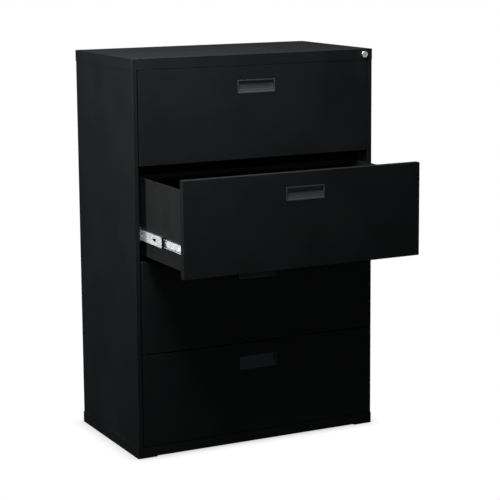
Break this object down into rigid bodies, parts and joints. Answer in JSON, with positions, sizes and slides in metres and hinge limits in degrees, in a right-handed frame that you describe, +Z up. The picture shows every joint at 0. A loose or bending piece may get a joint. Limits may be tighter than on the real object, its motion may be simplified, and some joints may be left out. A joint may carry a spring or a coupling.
{
  "type": "lateral filing cabinet",
  "caption": "Free-standing sheet-steel lateral filing cabinet with pull-out drawers on ball-bearing slides, recessed pulls and a key lock that bars the drawers.",
  "frame": {"origin": "on the floor, under the middle of the casing", "axes": "+Z up; +X to the right of someone facing the drawers; drawers pull out towards -Y"},
  "size_m": [0.9144, 0.852, 1.3525],
  "materials": {
    "casing_paint": "fine-textured black powder coat",
    "inner_paint": "satin black paint",
    "counterweight": "mill scale",
    "foot_steel": "zinc plated",
    "zinc": "bright zinc plated",
    "black_oxide": "black oxide",
    "ball_steel": "polished",
    "lock_chrome": "bright nickel",
    "nylon": "black nylon",
    "pull_plastic": "fine-grained moulded"
  },
  "bodies": {
    "cabinet": {"side_panel_left": "casing_paint", "side_panel_right": "casing_paint", "top_cap": "casing_paint", "back_panel": "casing_paint", "base_frame": "casing_paint", "bottom_pan": "inner_paint", "front_uprights": "inner_paint", "rear_uprights": "inner_paint", "counterweight": "counterweight", "lock_housing": "lock_chrome", "lock_nut": "zinc", "lock_bar_guides": "nylon", "drawer_1_slide_outer": "zinc", "drawer_2_slide_outer": "zinc", "drawer_3_slide_outer": "zinc", "drawer_4_slide_outer": "zinc"},
    "drawer_1": {"drawer_1_front": "casing_paint", "drawer_1_front_liner": "inner_paint", "drawer_1_pull": "pull_plastic", "drawer_1_tray": "inner_paint", "drawer_1_hanging_rails": "inner_paint", "drawer_1_slide_inner": "zinc"},
    "drawer_1_mid_slides": {"drawer_1_slide_mid": "zinc"},
    "drawer_1_outer_balls": {"drawer_1_outer_cage": "ball_steel"},
    "drawer_1_inner_balls": {"drawer_1_inner_cage": "ball_steel"},
    "drawer_2": {"drawer_2_front": "casing_paint", "drawer_2_front_liner": "inner_paint", "drawer_2_pull": "pull_plastic", "drawer_2_tray": "inner_paint", "drawer_2_hanging_rails": "inner_paint", "drawer_2_slide_inner": "zinc"},
    "drawer_2_mid_slides": {"drawer_2_slide_mid": "zinc"},
    "drawer_2_outer_balls": {"drawer_2_outer_cage": "ball_steel"},
    "drawer_2_inner_balls": {"drawer_2_inner_cage": "ball_steel"},
    "drawer_3": {"drawer_3_front": "casing_paint", "drawer_3_front_liner": "inner_paint", "drawer_3_pull": "pull_plastic", "drawer_3_tray": "inner_paint", "drawer_3_hanging_rails": "inner_paint", "drawer_3_slide_inner": "zinc"},
    "drawer_3_mid_slides": {"drawer_3_slide_mid": "zinc"},
    "drawer_3_outer_balls": {"drawer_3_outer_cage": "ball_steel"},
    "drawer_3_inner_balls": {"drawer_3_inner_cage": "ball_steel"},
    "drawer_4": {"drawer_4_front": "casing_paint", "drawer_4_front_liner": "inner_paint", "drawer_4_pull": "pull_plastic", "drawer_4_tray": "inner_paint", "drawer_4_hanging_rails": "inner_paint", "drawer_4_slide_inner": "zinc"},
    "drawer_4_mid_slides": {"drawer_4_slide_mid": "zinc"},
    "drawer_4_outer_balls": {"drawer_4_outer_cage": "ball_steel"},
    "drawer_4_inner_balls": {"drawer_4_inner_cage": "ball_steel"},
    "lock_plug": {"lock_plug": "lock_chrome", "lock_cam": "zinc"},
    "lock_bar": {"lock_bar": "black_oxide", "lock_tabs": "black_oxide"},
    "foot_front_left": {"levelling_foot_front_left": "foot_steel"},
    "foot_front_right": {"levelling_foot_front_right": "foot_steel"},
    "foot_rear_left": {"levelling_foot_rear_left": "foot_steel"},
    "foot_rear_right": {"levelling_foot_rear_right": "foot_steel"}
  },
  "joints": [
    {"name": "drawer_1_pull_out", "type": "slide", "parent": "cabinet", "child": "drawer_1", "axis": [0, -1, 0], "range_m": [0, 0.45]},
    {"name": "drawer_1_mid_travel", "type": "slide", "parent": "cabinet", "child": "drawer_1_mid_slides", "axis": [0, -1, 0], "range_m": [0, 0.2475]},
    {"name": "drawer_1_outer_ball_travel", "type": "slide", "parent": "cabinet", "child": "drawer_1_outer_balls", "axis": [0, -1, 0], "range_m": [0, 0.12375]},
    {"name": "drawer_1_inner_ball_travel", "type": "slide", "parent": "cabinet", "child": "drawer_1_inner_balls", "axis": [0, -1, 0], "range_m": [0, 0.34875]},
    {"name": "drawer_2_pull_out", "type": "slide", "parent": "cabinet", "child": "drawer_2", "axis": [0, -1, 0], "range_m": [-0.343, 0.107]},
    {"name": "drawer_2_mid_travel", "type": "slide", "parent": "cabinet", "child": "drawer_2_mid_slides", "axis": [0, -1, 0], "range_m": [-0.18865, 0.05885]},
    {"name": "drawer_2_outer_ball_travel", "type": "slide", "parent": "cabinet", "child": "drawer_2_outer_balls", "axis": [0, -1, 0], "range_m": [-0.09433, 0.02942]},
    {"name": "drawer_2_inner_ball_travel", "type": "slide", "parent": "cabinet", "child": "drawer_2_inner_balls", "axis": [0, -1, 0], "range_m": [-0.26582, 0.08292]},
    {"name": "drawer_3_pull_out", "type": "slide", "parent": "cabinet", "child": "drawer_3", "axis": [0, -1, 0], "range_m": [0, 0.45]},
    {"name": "drawer_3_mid_travel", "type": "slide", "parent": "cabinet", "child": "drawer_3_mid_slides", "axis": [0, -1, 0], "range_m": [0, 0.2475]},
    {"name": "drawer_3_outer_ball_travel", "type": "slide", "parent": "cabinet", "child": "drawer_3_outer_balls", "axis": [0, -1, 0], "range_m": [0, 0.12375]},
    {"name": "drawer_3_inner_ball_travel", "type": "slide", "parent": "cabinet", "child": "drawer_3_inner_balls", "axis": [0, -1, 0], "range_m": [0, 0.34875]},
    {"name": "drawer_4_pull_out", "type": "slide", "parent": "cabinet", "child": "drawer_4", "axis": [0, -1, 0], "range_m": [0, 0.45]},
    {"name": "drawer_4_mid_travel", "type": "slide", "parent": "cabinet", "child": "drawer_4_mid_slides", "axis": [0, -1, 0], "range_m": [0, 0.2475]},
    {"name": "drawer_4_outer_ball_travel", "type": "slide", "parent": "cabinet", "child": "drawer_4_outer_balls", "axis": [0, -1, 0], "range_m": [0, 0.12375]},
    {"name": "drawer_4_inner_ball_travel", "type": "slide", "parent": "cabinet", "child": "drawer_4_inner_balls", "axis": [0, -1, 0], "range_m": [0, 0.34875]},
    {"name": "lock_key_turn", "type": "hinge", "parent": "cabinet", "child": "lock_plug", "pos_m": [0.422, -0.262, 1.334], "axis": [0, -1, 0], "range_deg": [0, 90]},
    {"name": "lock_bar_lift", "type": "slide", "parent": "cabinet", "child": "lock_bar", "axis": [0, 0, 1], "range_m": [0, 0.01273]},
    {"name": "foot_front_left_wind_down", "type": "slide", "parent": "cabinet", "child": "foot_front_left", "axis": [0, 0, -1], "range_m": [0, 0.012]},
    {"name": "foot_front_right_wind_down", "type": "slide", "parent": "cabinet", "child": "foot_front_right", "axis": [0, 0, -1], "range_m": [0, 0.012]},
    {"name": "foot_rear_left_wind_down", "type": "slide", "parent": "cabinet", "child": "foot_rear_left", "axis": [0, 0, -1], "range_m": [0, 0.012]},
    {"name": "foot_rear_right_wind_down", "type": "slide", "parent": "cabinet", "child": "foot_rear_right", "axis": [0, 0, -1], "range_m": [0, 0.012]}
  ],
  "couplings": [
    {"joint": "drawer_1_mid_travel", "follows": "drawer_1_pull_out", "ratio": 0.55},
    {"joint": "drawer_1_outer_ball_travel", "follows": "drawer_1_pull_out", "ratio": 0.275},
    {"joint": "drawer_1_inner_ball_travel", "follows": "drawer_1_pull_out", "ratio": 0.775},
    {"joint": "drawer_2_mid_travel", "follows": "drawer_2_pull_out", "ratio": 0.55},
    {"joint": "drawer_2_outer_ball_travel", "follows": "drawer_2_pull_out", "ratio": 0.275},
    {"joint": "drawer_2_inner_ball_travel", "follows": "drawer_2_pull_out", "ratio": 0.775},
    {"joint": "drawer_3_mid_travel", "follows": "drawer_3_pull_out", "ratio": 0.55},
    {"joint": "drawer_3_outer_ball_travel", "follows": "drawer_3_pull_out", "ratio": 0.275},
    {"joint": "drawer_3_inner_ball_travel", "follows": "drawer_3_pull_out", "ratio": 0.775},
    {"joint": "drawer_4_mid_travel", "follows": "drawer_4_pull_out", "ratio": 0.55},
    {"joint": "drawer_4_outer_ball_travel", "follows": "drawer_4_pull_out", "ratio": 0.275},
    {"joint": "drawer_4_inner_ball_travel", "follows": "drawer_4_pull_out", "ratio": 0.775},
    {"joint": "lock_key_turn", "follows": "lock_bar_lift", "rad_per_m": 123.41}
  ]
}
